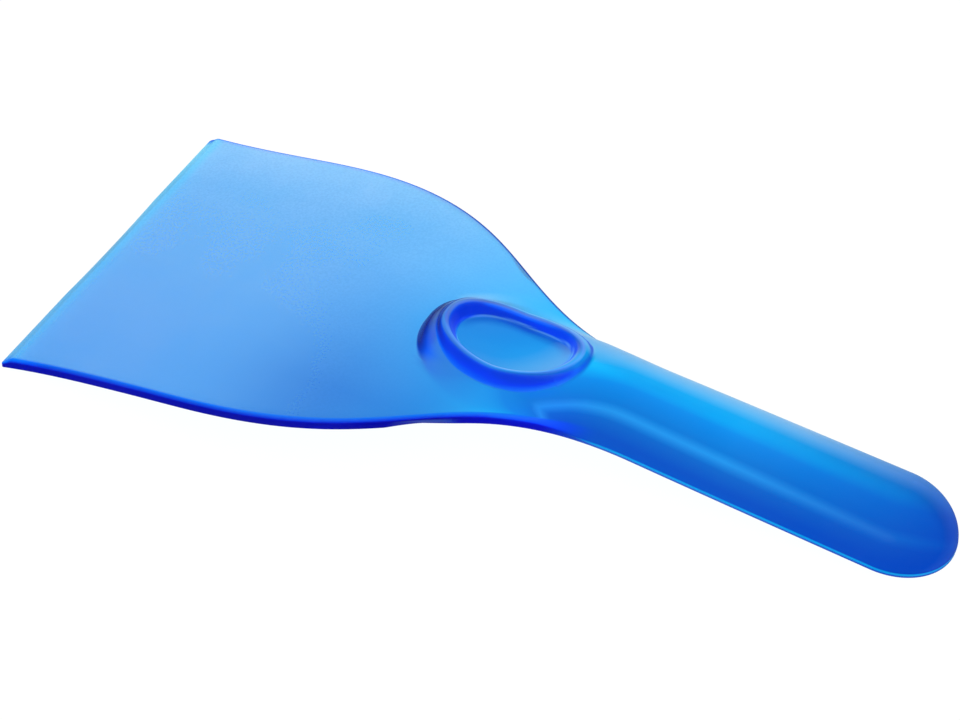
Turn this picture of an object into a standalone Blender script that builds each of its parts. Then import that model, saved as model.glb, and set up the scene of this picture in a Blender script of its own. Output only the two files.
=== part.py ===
"""One-piece windshield ice scraper: a bent blade, a thumb rest and an open-backed handle.

The moulding lies as it does on a table, on its leading edge and on the rim at the handle's end.
Its shape is worked out in the handle's own frame: x runs from the leading edge to the handle's
end, y runs across, and z runs up from the plane of the handle's lower rim. Heights are measured
from the underside plane, which follows the bend.
"""
import math

import bmesh
import bpy
import numpy as np
from mathutils.geometry import interpolate_bezier

MM = 0.001
NODE_NAME = "scraper_moulding"
COLLECTION_NAME = "ice_scraper"

LENGTH = 234.2 * MM

# Blade
EDGE_HALF_WIDTH = 50.0 * MM
SHOULDER_X = 53.0 * MM
SHOULDER_HALF_WIDTH = 48.15 * MM
CORNER_RADIUS = 0.8 * MM
PLATE_THICKNESS = 3.2 * MM
LEADING_EDGE_THICKNESS = 0.5 * MM
BEVEL_LENGTH = 3.0 * MM
BEVEL_BLEND = 0.5 * MM
FILLET_SHARE = 0.375  # radius of the upper side edge, as a share of the thickness there

# Bend between the blade and the handle
BEND_ANGLE = math.radians(14.93)
BEND_START_X = 36.6 * MM
BEND_END_X = 126.6 * MM

# Handle, an arched shell that is open underneath
NECK_X = 157.0 * MM
NECK_HALF_WIDTH = 13.7 * MM
HANDLE_HALF_WIDTH = 14.5 * MM
ROUND_END_LENGTH = 16.0 * MM
CROWN_FULL_X = 149.5 * MM
CROWN_AT_NECK = 13.3 * MM
CROWN_AT_END = 12.3 * MM
RIM_THICKNESS = 0.96 * MM
RIM_START_X = 132.0 * MM
WALL = 2.3 * MM

# Nose, where the handle's arch runs out onto the blade
NOSE_X = 117.0 * MM
NOSE_REACH = 23.1 * MM
NOSE_HALF_WIDTH = 21.0 * MM
NOSE_CROWN = 5.6 * MM
NOSE_FRONT_RISE = 7.6 * MM
NOSE_DRAFT = 0.2
FLANK_END_X = 140.0 * MM
BLEND_END_X = 160.0 * MM
NECK_BLEND = 4.0 * MM
NECK_RISE = 0.62
NOSE_BLEND_FRONT = 1.2 * MM
NOSE_BLEND_SIDE = 3.5 * MM

# Thumb rest, a bowl inside a rim. In plan its crest is an oval slightly squarer than an ellipse
REST_HALF_WIDTH = 10.1 * MM
REST_FRONT = 16.7 * MM
REST_BACK = 19.3 * MM
REST_POWER = 2.2
CREST_HEIGHT = 8.1 * MM
CREST_FRONT_RISE = 2.6 * MM
CREST_FRONT_TURN = 1.6
CREST_BACK_RISE = 4.9 * MM
CREST_BACK_TURN = 1.45
CREST_RADIUS = 1.0 * MM
CREST_FRONT_WIDENING = 0.6 * MM
CREST_BACK_WIDENING = 1.8 * MM
CREST_SLOPE = math.radians(66.0)
BOWL_HEIGHT = 4.7 * MM
BOWL_RADIUS_FRONT = 60.0 * MM
BOWL_RADIUS_BACK = 23.0 * MM
BOWL_RADIUS_ACROSS = 40.0 * MM
RIM_FOOT_BLEND = 0.6 * MM

# Mesh. Round the thumb rest its lines are loops at these multiples of the crest's size
LOOPS = np.array([
    0.0, 0.2, 0.4, 0.58, 0.72, 0.84, 0.93, 1.0, 1.07, 1.15, 1.23, 1.3, 1.38, 1.46, 1.56, 1.8
])
CREST_STEPS = 7
FRONT_FADE = (1.56, 1.8)
BACK_FADE = (1.0, 1.3)
BACK_LOOPS = LOOPS[LOOPS < BACK_FADE[1] + 0.001]
WING_STEPS = 3
FILLET_STEPS = 3
COLUMNS = len(LOOPS) - 1 + WING_STEPS + FILLET_STEPS  # from the centre line to one side
LAYOUT_CHANGE = (118.0 * MM, 135.0 * MM)
HANDLE_STEPS = 7
END_TURNS = np.radians((15.0, 30.0, 45.0, 58.0, 70.0, 80.0, 86.25, 90.0))

# Under the handle the same lines follow the foot of the hollow
HOLLOW_STEPS = 9
HOLLOW_LOOPS = np.concatenate([
    np.sin(np.linspace(0.0, math.pi / 2.0, HOLLOW_STEPS + 1)),
    np.linspace(1.0, LOOPS[-1], len(LOOPS) - HOLLOW_STEPS)[1:],
])
CORNER_STEPS = 6
BEVEL_STEPS = 6
FLAT_STEPS = 2
BEND_STEPS = 5
NEAR_NOSE_STEPS = 2


def mix(first, second, share):
    return first + (second - first) * share


def smooth_step(start, end, value):
    share = np.clip((value - start) / (end - start), 0.0, 1.0)
    return share * share * (3.0 - 2.0 * share)


def smooth_max(first, second, blend):
    """The larger of two heights, with a fillet where they cross."""
    closeness = np.maximum(blend - abs(first - second), 0.0) / blend
    return np.maximum(first, second) + closeness * closeness * blend / 4.0


def smooth_min(first, second, blend):
    return -smooth_max(-first, -second, blend)


def outline_points():
    """The side edge in plan, from the leading edge to the start of the round end."""
    corners = (
        (0.0, EDGE_HALF_WIDTH),
        (SHOULDER_X, SHOULDER_HALF_WIDTH),
        (NECK_X, NECK_HALF_WIDTH),
        (LENGTH - ROUND_END_LENGTH, HANDLE_HALF_WIDTH),
    )
    handles = (
        ((18.6 * MM, 47.7 * MM), (37.1 * MM, 48.8 * MM)),
        ((109.5 * MM, 45.9 * MM), (106.3 * MM, 12.7 * MM)),
        ((177.2 * MM, 14.1 * MM), (197.4 * MM, 14.3 * MM)),
    )
    points = []
    for start, (leave, arrive), end in zip(corners, handles, corners[1:]):
        points += interpolate_bezier(start, leave, arrive, end, 200)[:-1]
    return np.array([tuple(point) for point in points] + [corners[-1]])


OUTLINE = outline_points()


def half_width(x):
    inset = np.clip(CORNER_RADIUS - x, 0.0, CORNER_RADIUS)
    rounding = CORNER_RADIUS - np.sqrt(CORNER_RADIUS**2 - inset**2)
    return np.interp(x, OUTLINE[:, 0], OUTLINE[:, 1]) - rounding


def underside_plane(x):
    """Height of the underside plane: flat blade, parabolic bend, flat handle rim."""
    to_bend = np.maximum(BEND_START_X - x, 0.0)
    in_bend = np.maximum(BEND_END_X - np.maximum(x, BEND_START_X), 0.0)
    drop = to_bend + in_bend**2 / (2.0 * (BEND_END_X - BEND_START_X))
    return -math.tan(BEND_ANGLE) * drop


def plate_thickness(x):
    bevel = mix(LEADING_EDGE_THICKNESS, PLATE_THICKNESS, x / BEVEL_LENGTH)
    bevel = smooth_min(bevel, PLATE_THICKNESS + 0.0 * x, BEVEL_BLEND)
    return mix(bevel, RIM_THICKNESS, smooth_step(RIM_START_X, CROWN_FULL_X, x))


def plate_height(x, edge_distance):
    thickness = plate_thickness(x)
    radius = thickness * FILLET_SHARE
    inset = np.clip(radius - edge_distance, 0.0, radius)
    return thickness - radius + np.sqrt(radius**2 - inset**2)


def crown_height(x):
    """Height of the arch's centre line, which sags under the thumb rest."""
    front = NOSE_CROWN + NOSE_FRONT_RISE * ((NOSE_X - x) / REST_FRONT) ** 2
    rise = smooth_step(NOSE_X, CROWN_FULL_X, x) ** NECK_RISE
    neck = mix(NOSE_CROWN, CROWN_AT_NECK, rise)
    along = np.clip((x - CROWN_FULL_X) / (LENGTH - CROWN_FULL_X), 0.0, 1.0)
    return np.where(x < NOSE_X, front, neck + (CROWN_AT_END - CROWN_AT_NECK) * along)


def arch_half_width(x):
    side = half_width(np.minimum(x, LENGTH - ROUND_END_LENGTH))
    return smooth_min(NOSE_HALF_WIDTH, side, NECK_BLEND)


def arch_height(x, y, inset, draft):
    """The arch, or with an inset the hollow inside it. Draft leans its foot inwards. Beside the
    thumb rest its flanks run out gently instead of standing up from their foot."""
    forward = np.maximum(NOSE_X - x, 0.0) / (NOSE_REACH - inset)
    backward = np.maximum(x - LENGTH + ROUND_END_LENGTH, 0.0) / (ROUND_END_LENGTH - inset)
    across = y / (arch_half_width(x) - inset)
    inside = np.maximum(1.0 - forward**2 - backward**2 - across**2, 0.0)
    full = np.sqrt(1.0 + draft) - np.sqrt(draft)
    flank = across**2 / np.maximum(forward**2 + across**2, 1e-9)
    gentle = inside ** (0.5 * flank * (1.0 - smooth_step(NOSE_X, FLANK_END_X, x)))
    steep = (np.sqrt(inside + draft) - np.sqrt(draft)) / full
    return (crown_height(x) - inset) * steep * gentle


def nose_blend(x, y):
    """The fillet where the arch meets the blade: tight in front, wide along its flanks."""
    flank = np.clip(abs(y) / NOSE_HALF_WIDTH, 0.0, 1.0) ** 2
    flank = flank * (1.0 - smooth_step(NOSE_X, BLEND_END_X, x))
    return mix(NOSE_BLEND_FRONT, NOSE_BLEND_SIDE, flank)


def bowl_height(x, y):
    """Floor of the thumb rest, dished both ways."""
    radius = np.where(x < NOSE_X, BOWL_RADIUS_FRONT, BOWL_RADIUS_BACK)
    along = (x - NOSE_X) ** 2 / (2.0 * radius)
    return BOWL_HEIGHT + along + y**2 / (2.0 * BOWL_RADIUS_ACROSS)


def rest_radius(along, across):
    """Size of the oval through a point, as a multiple of the crest's."""
    power = abs(along) ** REST_POWER + abs(across) ** REST_POWER
    return np.maximum(power, 1e-12) ** (1.0 / REST_POWER)


def rim_height(x, y):
    """The thumb rest's rim at each point, and how far the point lies outside its crest."""
    front = x < NOSE_X
    reach = np.where(front, REST_FRONT, REST_BACK)
    along = abs(x - NOSE_X) / reach
    across = abs(y) / REST_HALF_WIDTH
    radius = rest_radius(along, across)
    growth_x = (along / radius) ** (REST_POWER - 1.0) / reach
    growth_y = (across / radius) ** (REST_POWER - 1.0) / REST_HALF_WIDTH
    outside = (radius - 1.0) / np.maximum(np.hypot(growth_x, growth_y), 1e-6)
    turn = np.minimum(along / radius, 1.0)
    front_rise = CREST_FRONT_RISE * turn**CREST_FRONT_TURN
    back_rise = CREST_BACK_RISE * turn**CREST_BACK_TURN
    widening = np.where(front, CREST_FRONT_WIDENING, CREST_BACK_WIDENING)
    round_over = CREST_RADIUS + widening * turn**4
    distance = abs(outside)
    arc = round_over * math.sin(CREST_SLOPE)
    drop = round_over - np.sqrt(round_over**2 - np.minimum(distance, arc) ** 2)
    drop += np.maximum(distance - arc, 0.0) * math.tan(CREST_SLOPE)
    return CREST_HEIGHT + np.where(front, front_rise, back_rise) - drop, outside


def upper_height(x, y, edge_distance):
    """Height of the upper skin above the underside plane."""
    rim, outside = rim_height(x, y)
    arch = arch_height(x, y, 0.0, 0.0)
    body = smooth_max(plate_height(x, edge_distance), arch, nose_blend(x, y))
    bowl = smooth_max(bowl_height(x, y), rim, RIM_FOOT_BLEND)
    return np.where(outside < 0.0, bowl, smooth_max(body, rim, RIM_FOOT_BLEND))


def hollow_height(x, y):
    """Height of the handle's hollow back, which stays one wall under the bowl."""
    draft = mix(NOSE_DRAFT, 0.0, smooth_step(NOSE_X, CROWN_FULL_X, x))
    arch = arch_height(x, y, WALL, draft)
    under_bowl = np.where(x > NOSE_X + REST_BACK, arch + WALL, bowl_height(x, y) - WALL)
    return np.maximum(smooth_min(arch, under_bowl, MM), 0.0)


def row_positions(loops, reach):
    """Row x along one skin, up to where the round end starts."""
    near_nose = NOSE_X - 2.0 * reach
    quarter = np.linspace(0.0, math.pi / 2.0, CORNER_STEPS + 1)
    blade = np.concatenate([
        CORNER_RADIUS * (1.0 - np.cos(quarter))[:-1],
        np.linspace(CORNER_RADIUS, BEVEL_LENGTH + 3.0 * MM, BEVEL_STEPS + 1)[:-1],
        np.linspace(BEVEL_LENGTH + 3.0 * MM, BEND_START_X, FLAT_STEPS + 1)[:-1],
        np.linspace(BEND_START_X, near_nose, BEND_STEPS + 1)[:-1],
        np.linspace(near_nose, NOSE_X - loops[-1] * reach, NEAR_NOSE_STEPS + 1)[:-1],
    ])
    front = NOSE_X - loops[:0:-1] * reach
    back = NOSE_X + BACK_LOOPS * REST_BACK
    handle = np.linspace(back[-1], LENGTH - ROUND_END_LENGTH, HANDLE_STEPS + 1)[1:]
    return np.concatenate([blade, front, back, handle])


def upper_columns(x):
    """Offsets of the upper skin's columns from the centre line, one row for each x."""
    half = half_width(x)[:, None]
    radius = plate_thickness(x)[:, None] * FILLET_SHARE
    foot = np.minimum(LOOPS[-1] * REST_HALF_WIDTH, half - 3.0 * radius)
    share = (LOOPS[CREST_STEPS + 1 :] - 1.0) / (LOOPS[-1] - 1.0)
    inner = LOOPS[: CREST_STEPS + 1] * REST_HALF_WIDTH + 0.0 * half
    blade = np.concatenate([
        inner,
        mix(REST_HALF_WIDTH, foot, share),
        mix(foot, half - radius, np.linspace(0.0, 1.0, WING_STEPS + 1)[1:]),
        half - radius * (1.0 - np.sin(np.linspace(0.0, math.pi / 2.0, FILLET_STEPS + 1)[1:])),
    ], axis=1)
    share = np.linspace(0.0, 1.0, COLUMNS - CREST_STEPS + 1)
    outer = half * np.sin(mix(np.arcsin(REST_HALF_WIDTH / half), math.pi / 2.0, share))
    handle = np.concatenate([inner[:, :CREST_STEPS], outer], axis=1)
    return mix(blade, handle, smooth_step(*LAYOUT_CHANGE, x)[:, None])


def lower_columns(x):
    """Offsets of the lower skin's columns: across the hollow, then over the flat beside it."""
    foot = (arch_half_width(x) - WALL)[:, None]
    half = half_width(x)[:, None]
    hollow = HOLLOW_LOOPS[: HOLLOW_STEPS + 1] * foot
    flat = mix(foot, half, np.linspace(0.0, 1.0, COLUMNS - HOLLOW_STEPS + 1)[1:])
    return np.concatenate([hollow, flat], axis=1)


def both_sides(offsets):
    return np.concatenate([-offsets[:, :0:-1], offsets], axis=1)


def follow_oval(x, y, reach, half, radius, fades):
    """Pulls square loops of the grid round the nose's centre onto ovals of one size."""
    along = (x - NOSE_X) / reach
    across = y / half
    square = np.maximum(abs(along), abs(across))
    pull = square / np.maximum(radius(along, across), 1e-9)
    fade = np.clip((square - fades[0]) / (fades[1] - fades[0]), 0.0, 1.0)
    scale = np.where(square > 1e-9, mix(pull, 1.0, fade), 1.0)
    return NOSE_X + along * scale * reach, y * scale


def round_end(side, last, rim_side):
    """Plan positions of the rows round the handle's end, for columns at multiples of the last
    row's inner half width. Past 1 both the columns and the last row lie on the rim's flat ring."""
    along = np.sin(END_TURNS)
    if rim_side:
        along = np.append(np.delete(along, -2), 1.0 + rim_side)
    along = along[:, None]
    size = np.maximum(np.maximum(along, abs(side)), 1.0)
    reach = ROUND_END_LENGTH - last
    width = HANDLE_HALF_WIDTH - last
    grow = (size - 1.0) * width
    unit_x = along / size * np.sqrt(1.0 - (side / size) ** 2 / 2.0)
    unit_y = side / size * np.sqrt(1.0 - (along / size) ** 2 / 2.0)
    return LENGTH - ROUND_END_LENGTH + unit_x * (reach + grow), unit_y * (width + grow)


def upper_skin():
    rows = row_positions(LOOPS, REST_FRONT)
    offsets = both_sides(upper_columns(rows))
    x = rows[:, None] + 0.0 * offsets
    edge_distance = half_width(x) - abs(offsets)
    front = x < NOSE_X
    reach = np.where(front, REST_FRONT, REST_BACK)
    fades = [np.where(front, *pair) for pair in zip(FRONT_FADE, BACK_FADE)]
    x, y = follow_oval(x, offsets, reach, REST_HALF_WIDTH, rest_radius, fades)
    end_x, end_y = round_end(offsets[-1:] / HANDLE_HALF_WIDTH, 0.0, 0.0)
    x, y = np.concatenate([x, end_x]), np.concatenate([y, end_y])
    edge_distance = np.concatenate([edge_distance, np.full(end_x.shape, ROUND_END_LENGTH)])
    height = upper_height(x, y, edge_distance)
    for edge in (np.s_[0], np.s_[-1], np.s_[:, 0], np.s_[:, -1]):
        height[edge] = plate_height(x[edge], 0.0)
    return x, y, underside_plane(x) + height


def lower_skin():
    reach = NOSE_REACH - WALL
    rows = row_positions(HOLLOW_LOOPS, reach)
    offsets = both_sides(lower_columns(rows))
    x = rows[:, None] + 0.0 * offsets
    pulled_x, pulled_y = follow_oval(x, offsets, reach, NOSE_HALF_WIDTH - WALL, np.hypot, FRONT_FADE)
    y = np.where(x < NOSE_X, pulled_y, offsets)
    x = np.where(x < NOSE_X, pulled_x, x)
    inner = HANDLE_HALF_WIDTH - WALL
    end_x, end_y = round_end(offsets[-1:] / inner, WALL, WALL / inner)
    x, y = np.concatenate([x, end_x]), np.concatenate([y, end_y])
    height = hollow_height(x, y)
    for edge in (np.s_[0], np.s_[-1], np.s_[:, 0], np.s_[:, -1]):
        height[edge] = 0.0
    return x, y, underside_plane(x) + height


def at_rest(x, y, z):
    """Turns points of the handle's frame so that both resting places are level."""
    drop = -float(underside_plane(np.float64(0.0)))
    tilt = math.atan2(drop, LENGTH)
    z = z + drop
    return np.stack([
        x * math.cos(tilt) + z * math.sin(tilt),
        y,
        z * math.cos(tilt) - x * math.sin(tilt),
    ], axis=-1)


def moulding_mesh():
    """A flat two-sided grid, with each of its vertices then moved onto its skin."""
    upper = at_rest(*upper_skin())
    lower = at_rest(*lower_skin())
    rows, columns = upper.shape[:2]
    shape = bmesh.new()
    bmesh.ops.create_grid(shape, x_segments=rows - 1, y_segments=columns - 1, size=1.0)
    grown = bmesh.ops.extrude_face_region(shape, geom=shape.faces[:])
    upper_vertices = {item for item in grown["geom"] if isinstance(item, bmesh.types.BMVert)}
    for vertex in shape.verts:
        row = round((vertex.co.x + 1.0) / 2.0 * (rows - 1))
        column = round((vertex.co.y + 1.0) / 2.0 * (columns - 1))
        skin = upper if vertex in upper_vertices else lower
        vertex.co = skin[row, column]
    centre = (min(v.co.x for v in shape.verts) + max(v.co.x for v in shape.verts)) / 2.0
    bmesh.ops.translate(shape, verts=shape.verts, vec=(-centre, 0.0, 0.0))
    bmesh.ops.recalc_face_normals(shape, faces=shape.faces)
    mesh = bpy.data.meshes.new(NODE_NAME)
    shape.to_mesh(mesh)
    shape.free()
    mesh.shade_smooth()
    mesh.set_sharp_from_angle(angle=math.radians(40.0))
    return mesh


def blue_plastic():
    """Translucent blue plastic with a satin surface."""
    material = bpy.data.materials.new("blue_plastic")
    material.use_nodes = True
    surface = material.node_tree.nodes["Principled BSDF"]
    surface.inputs["Base Color"].default_value = (0.01, 0.22, 0.78, 1.0)
    surface.inputs["Roughness"].default_value = 0.35
    surface.inputs["Metallic"].default_value = 0.0
    surface.inputs["IOR"].default_value = 1.49
    surface.inputs["Transmission Weight"].default_value = 0.8
    return material


def clear_scene():
    for thing in list(bpy.data.objects):
        bpy.data.objects.remove(thing, do_unlink=True)


def build():
    clear_scene()
    collection = bpy.data.collections.new(COLLECTION_NAME)
    bpy.context.scene.collection.children.link(collection)
    mesh = moulding_mesh()
    mesh.materials.append(blue_plastic())
    collection.objects.link(bpy.data.objects.new(NODE_NAME, mesh))


build()
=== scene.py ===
"""Looks of the one-piece ice scraper: its fine surface, its satin translucent plastic and the studio.

The surface is worked out in the handle's own frame, in metres: x runs from the leading edge to the
handle's end, y across, z up from the plane of the handle's lower rim. Then it is turned and set
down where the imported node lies.
"""
import math
from types import SimpleNamespace

import bpy
import numpy as np
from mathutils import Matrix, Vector
from mathutils.geometry import interpolate_bezier


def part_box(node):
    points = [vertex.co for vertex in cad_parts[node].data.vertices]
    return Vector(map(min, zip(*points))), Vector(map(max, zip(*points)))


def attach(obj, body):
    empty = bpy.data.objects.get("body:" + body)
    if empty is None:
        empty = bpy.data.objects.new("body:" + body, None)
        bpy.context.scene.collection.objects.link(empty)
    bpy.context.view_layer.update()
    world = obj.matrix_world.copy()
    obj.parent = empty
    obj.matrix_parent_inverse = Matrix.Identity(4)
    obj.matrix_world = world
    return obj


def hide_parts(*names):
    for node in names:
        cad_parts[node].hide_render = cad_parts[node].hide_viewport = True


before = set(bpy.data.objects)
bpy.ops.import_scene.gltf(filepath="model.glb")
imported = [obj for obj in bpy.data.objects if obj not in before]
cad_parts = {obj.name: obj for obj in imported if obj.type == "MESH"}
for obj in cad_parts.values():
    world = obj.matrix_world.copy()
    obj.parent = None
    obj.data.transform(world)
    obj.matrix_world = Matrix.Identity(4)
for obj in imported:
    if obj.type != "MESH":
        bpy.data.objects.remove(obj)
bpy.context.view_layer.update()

MM = 0.001
NODE = "scraper_moulding"

LENGTH = 234.2 * MM

# Blade
EDGE_HALF_WIDTH = 50.0 * MM
SHOULDER_X = 53.0 * MM
SHOULDER_HALF_WIDTH = 48.15 * MM
CORNER_RADIUS = 0.8 * MM
PLATE_THICKNESS = 3.2 * MM
LEADING_EDGE_THICKNESS = 0.5 * MM
BEVEL_LENGTH = 3.0 * MM
BEVEL_BLEND = 0.5 * MM
FILLET_SHARE = 0.375

# Bend
BEND_ANGLE = math.radians(14.93)
BEND_START_X = 36.6 * MM
BEND_END_X = 126.6 * MM

# Handle
NECK_X = 157.0 * MM
NECK_HALF_WIDTH = 13.7 * MM
HANDLE_HALF_WIDTH = 14.5 * MM
ROUND_END_LENGTH = 16.0 * MM
CROWN_FULL_X = 149.5 * MM
CROWN_AT_NECK = 13.3 * MM
CROWN_AT_END = 12.3 * MM
RIM_THICKNESS = 0.96 * MM
RIM_START_X = 132.0 * MM
WALL = 2.3 * MM

# Nose
NOSE_X = 117.0 * MM
NOSE_REACH = 23.1 * MM
NOSE_HALF_WIDTH = 21.0 * MM
NOSE_CROWN = 5.6 * MM
NOSE_FRONT_RISE = 7.6 * MM
NOSE_DRAFT = 0.2
FLANK_END_X = 140.0 * MM
BLEND_END_X = 160.0 * MM
NECK_BLEND = 4.0 * MM
NECK_RISE = 0.62
NOSE_BLEND_FRONT = 1.2 * MM
NOSE_BLEND_SIDE = 3.5 * MM

# Thumb rest: its crest in plan is an oval slightly squarer than an ellipse
REST_HALF_WIDTH = 10.1 * MM
REST_FRONT = 16.7 * MM
REST_BACK = 19.3 * MM
REST_POWER = 2.2
CREST_HEIGHT = 8.1 * MM
CREST_FRONT_RISE = 2.6 * MM
CREST_FRONT_TURN = 1.6
CREST_BACK_RISE = 4.9 * MM
CREST_BACK_TURN = 1.45
CREST_RADIUS = 1.0 * MM
CREST_FRONT_WIDENING = 0.6 * MM
CREST_BACK_WIDENING = 1.8 * MM
CREST_SLOPE = math.radians(66.0)
BOWL_HEIGHT = 4.7 * MM
BOWL_RADIUS_FRONT = 60.0 * MM
BOWL_RADIUS_BACK = 23.0 * MM
BOWL_RADIUS_ACROSS = 40.0 * MM
RIM_FOOT_BLEND = 0.6 * MM

# Grid of the fine surface. Round the thumb rest its lines are loops at multiples of the crest
CREST_STEPS = 24
FLOOR_LOOPS = 10
WALL_FOOT = 0.7
BACK_FADE = (1.0, 1.3)
FRONT_FADE = (1.56, 1.8)
LOOPS = np.concatenate([
    np.linspace(0.0, WALL_FOOT, FLOOR_LOOPS + 1)[:-1],
    np.linspace(WALL_FOOT, 1.0, CREST_STEPS - FLOOR_LOOPS + 1),
    np.linspace(*BACK_FADE, 15)[1:],
    np.linspace(BACK_FADE[1], FRONT_FADE[0], 17)[1:],
    np.linspace(*FRONT_FADE, 7)[1:],
])
BACK_LOOPS = LOOPS[LOOPS < BACK_FADE[1] + 0.001]
WING_STEPS = 12
FILLET_STEPS = 6
COLUMNS = len(LOOPS) - 1 + WING_STEPS + FILLET_STEPS
LAYOUT_CHANGE = (118.0 * MM, 135.0 * MM)
HANDLE_STEPS = 34
END_STEPS = 24

# Rows of the blade, from its leading edge to the loops round the nose
CORNER_STEPS = 6
BEVEL_STEPS = 12
FLAT_STEPS = 7
BEND_STEPS = 17
NEAR_NOSE_STEPS = 8
BLADE_STEPS = CORNER_STEPS + BEVEL_STEPS + FLAT_STEPS + BEND_STEPS + NEAR_NOSE_STEPS
BEHIND_BEVEL = BEVEL_LENGTH + 3.0 * MM

# Under the handle the same lines follow the foot of the hollow
HOLLOW_STEPS = 32
HOLLOW_LOOPS = np.concatenate([
    np.sin(np.linspace(0.0, math.pi / 2.0, HOLLOW_STEPS + 1)),
    np.linspace(1.0, LOOPS[-1], len(LOOPS) - HOLLOW_STEPS)[1:],
])
END_RIM_STEPS = 4
FIRST_HOLLOW_ROW = BLADE_STEPS + len(LOOPS) - 1 - HOLLOW_STEPS


def mix(first, second, share):
    return first + (second - first) * share


def smooth_step(start, end, value):
    share = np.clip((value - start) / (end - start), 0.0, 1.0)
    return share * share * (3.0 - 2.0 * share)


def smooth_max(first, second, blend):
    """The larger of two heights, with a fillet where they cross."""
    closeness = np.maximum(blend - abs(first - second), 0.0) / blend
    return np.maximum(first, second) + closeness * closeness * blend / 4.0


def smooth_min(first, second, blend):
    return -smooth_max(-first, -second, blend)


def outline_points():
    """The side edge in plan, from the leading edge to the start of the round end."""
    corners = (
        (0.0, EDGE_HALF_WIDTH),
        (SHOULDER_X, SHOULDER_HALF_WIDTH),
        (NECK_X, NECK_HALF_WIDTH),
        (LENGTH - ROUND_END_LENGTH, HANDLE_HALF_WIDTH),
    )
    handles = (
        ((18.6 * MM, 47.7 * MM), (37.1 * MM, 48.8 * MM)),
        ((109.5 * MM, 45.9 * MM), (106.3 * MM, 12.7 * MM)),
        ((177.2 * MM, 14.1 * MM), (197.4 * MM, 14.3 * MM)),
    )
    points = []
    for start, (leave, arrive), end in zip(corners, handles, corners[1:]):
        points += interpolate_bezier(start, leave, arrive, end, 200)[:-1]
    return np.array([tuple(point) for point in points] + [corners[-1]])


OUTLINE = outline_points()


def half_width(x):
    inset = np.clip(CORNER_RADIUS - x, 0.0, CORNER_RADIUS)
    rounding = CORNER_RADIUS - np.sqrt(CORNER_RADIUS**2 - inset**2)
    return np.interp(x, OUTLINE[:, 0], OUTLINE[:, 1]) - rounding


def underside_plane(x):
    """Height of the underside plane: flat blade, parabolic bend, flat handle rim."""
    to_bend = np.maximum(BEND_START_X - x, 0.0)
    in_bend = np.maximum(BEND_END_X - np.maximum(x, BEND_START_X), 0.0)
    drop = to_bend + in_bend**2 / (2.0 * (BEND_END_X - BEND_START_X))
    return -math.tan(BEND_ANGLE) * drop


def plate_thickness(x):
    bevel = mix(LEADING_EDGE_THICKNESS, PLATE_THICKNESS, x / BEVEL_LENGTH)
    bevel = smooth_min(bevel, PLATE_THICKNESS + 0.0 * x, BEVEL_BLEND)
    return mix(bevel, RIM_THICKNESS, smooth_step(RIM_START_X, CROWN_FULL_X, x))


def plate_height(x, edge_distance):
    thickness = plate_thickness(x)
    radius = thickness * FILLET_SHARE
    inset = np.clip(radius - edge_distance, 0.0, radius)
    return thickness - radius + np.sqrt(radius**2 - inset**2)


def crown_height(x):
    """Height of the arch's centre line, which sags under the thumb rest."""
    front = NOSE_CROWN + NOSE_FRONT_RISE * ((NOSE_X - x) / REST_FRONT) ** 2
    rise = smooth_step(NOSE_X, CROWN_FULL_X, x) ** NECK_RISE
    neck = mix(NOSE_CROWN, CROWN_AT_NECK, rise)
    along = np.clip((x - CROWN_FULL_X) / (LENGTH - CROWN_FULL_X), 0.0, 1.0)
    return np.where(x < NOSE_X, front, neck + (CROWN_AT_END - CROWN_AT_NECK) * along)


def arch_half_width(x):
    side = half_width(np.minimum(x, LENGTH - ROUND_END_LENGTH))
    return smooth_min(NOSE_HALF_WIDTH, side, NECK_BLEND)


def arch_height(x, y, inset, draft):
    """The arch, or with an inset the hollow inside it. Draft leans its foot inwards. Beside the
    thumb rest its flanks run out gently instead of standing up from their foot."""
    forward = np.maximum(NOSE_X - x, 0.0) / (NOSE_REACH - inset)
    backward = np.maximum(x - LENGTH + ROUND_END_LENGTH, 0.0) / (ROUND_END_LENGTH - inset)
    across = y / (arch_half_width(x) - inset)
    inside = np.maximum(1.0 - forward**2 - backward**2 - across**2, 0.0)
    full = np.sqrt(1.0 + draft) - np.sqrt(draft)
    flank = across**2 / np.maximum(forward**2 + across**2, 1e-9)
    gentle = inside ** (0.5 * flank * (1.0 - smooth_step(NOSE_X, FLANK_END_X, x)))
    steep = (np.sqrt(inside + draft) - np.sqrt(draft)) / full
    return (crown_height(x) - inset) * steep * gentle


def nose_blend(x, y):
    """The fillet where the arch meets the blade: tight in front, wide along its flanks."""
    flank = np.clip(abs(y) / NOSE_HALF_WIDTH, 0.0, 1.0) ** 2
    flank = flank * (1.0 - smooth_step(NOSE_X, BLEND_END_X, x))
    return mix(NOSE_BLEND_FRONT, NOSE_BLEND_SIDE, flank)


def bowl_height(x, y):
    """Floor of the thumb rest, dished both ways."""
    radius = np.where(x < NOSE_X, BOWL_RADIUS_FRONT, BOWL_RADIUS_BACK)
    along = (x - NOSE_X) ** 2 / (2.0 * radius)
    return BOWL_HEIGHT + along + y**2 / (2.0 * BOWL_RADIUS_ACROSS)


def rest_radius(along, across):
    """Size of the oval through a point, as a multiple of the crest's."""
    power = abs(along) ** REST_POWER + abs(across) ** REST_POWER
    return np.maximum(power, 1e-12) ** (1.0 / REST_POWER)


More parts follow.
